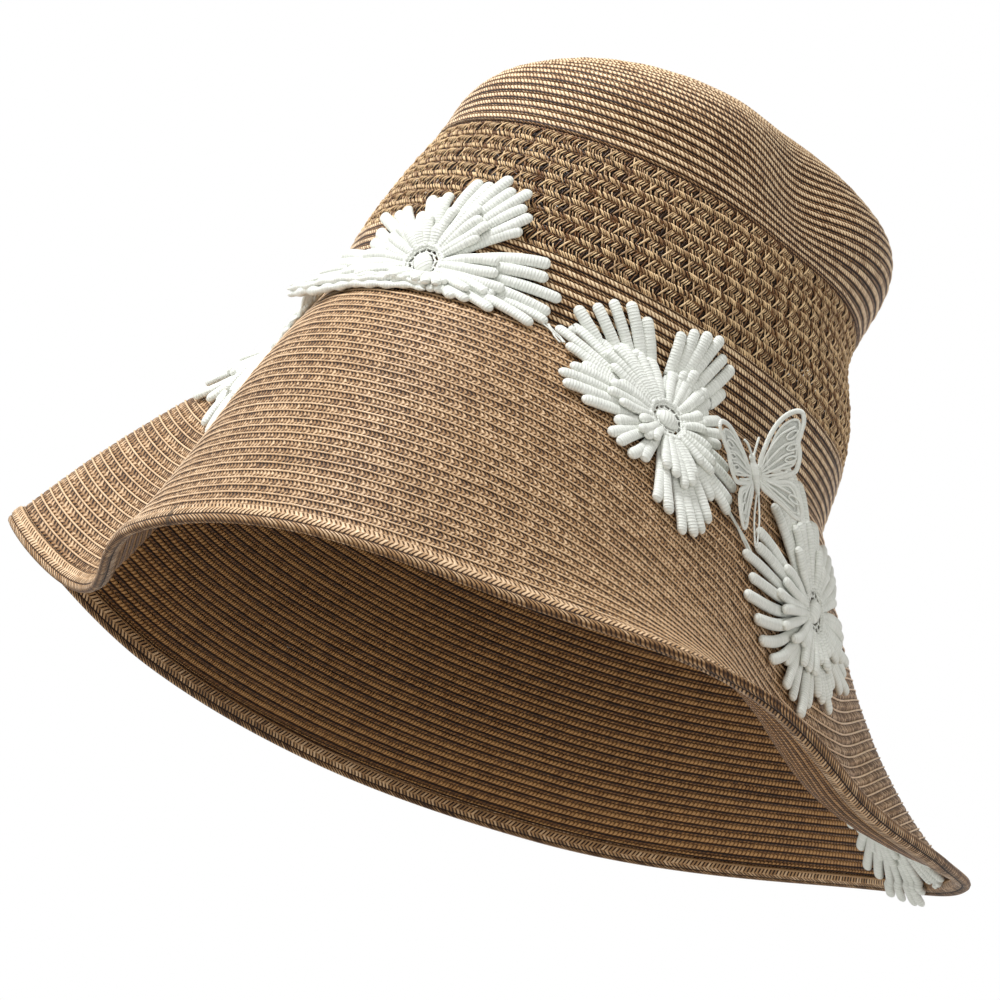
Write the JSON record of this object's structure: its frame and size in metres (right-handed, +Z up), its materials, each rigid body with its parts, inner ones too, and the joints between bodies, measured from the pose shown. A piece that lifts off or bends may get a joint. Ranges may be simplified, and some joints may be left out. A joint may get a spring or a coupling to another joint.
{
  "type": "straw sun hat",
  "caption": "Woman's wide-brimmed sun hat of sewn brown braid with an openwork band round the crown, a drooping wired brim and a lace garland with flowers and a butterfly.",
  "frame": {"origin": "centre of the head opening, in the plane of the headline where the brim meets the crown", "axes": "+Z up along the crown's axis, -Y towards the wearer's front, +X towards the wearer's left"},
  "size_m": [0.3163, 0.3563, 0.2435],
  "materials": {
    "straw_brown": "matte",
    "straw_tan": "matte",
    "lace": "satin",
    "ribbon": "matte",
    "wire_steel": "satin"
  },
  "bodies": {
    "hat": {"brim_braid": "straw_tan", "brim_wire": "wire_steel", "butterfly_body": "lace", "crown_side_braid": "straw_brown", "crown_tip_coil": "straw_brown", "crown_top_braid": "straw_brown", "flower_front_button": "lace", "flower_front_long_petals": "lace", "flower_front_short_petals": "lace", "flower_left_back_button": "lace", "flower_left_back_long_petals": "lace", "flower_left_back_short_petals": "lace", "flower_left_front_button": "lace", "flower_left_front_long_petals": "lace", "flower_left_front_short_petals": "lace", "flower_right_front_button": "lace", "flower_right_front_long_petals": "lace", "flower_right_front_short_petals": "lace", "flower_under_brim_button": "lace", "flower_under_brim_long_petals": "lace", "flower_under_brim_short_petals": "lace", "lace_link_front": "lace", "lace_link_left": "lace", "lace_link_right": "lace", "openwork_row_1": "straw_brown", "openwork_row_2": "straw_brown", "openwork_row_3": "straw_brown", "openwork_row_4": "straw_brown", "openwork_row_5": "straw_brown", "openwork_row_6": "straw_brown", "openwork_row_7": "straw_brown", "rim_braid": "straw_tan", "sweatband": "ribbon", "wire_sleeve": "wire_steel"},
    "left_wing": {"butterfly_left_wing": "lace"},
    "right_wing": {"butterfly_right_wing": "lace"}
  },
  "joints": [
    {"name": "butterfly_left_wing_fold", "type": "hinge", "parent": "hat", "child": "left_wing", "pos_m": [0.09611, -0.03189, -0.01521], "axis": [-0.3076, -0.4913, 0.8149], "range_deg": [-5, 45], "stiffness_Nm_per_rad": 0.0004},
    {"name": "butterfly_right_wing_fold", "type": "hinge", "parent": "hat", "child": "right_wing", "pos_m": [0.09661, -0.02806, -0.01271], "axis": [0.3076, 0.4913, -0.8149], "range_deg": [-5, 45], "stiffness_Nm_per_rad": 0.0004}
  ]
}
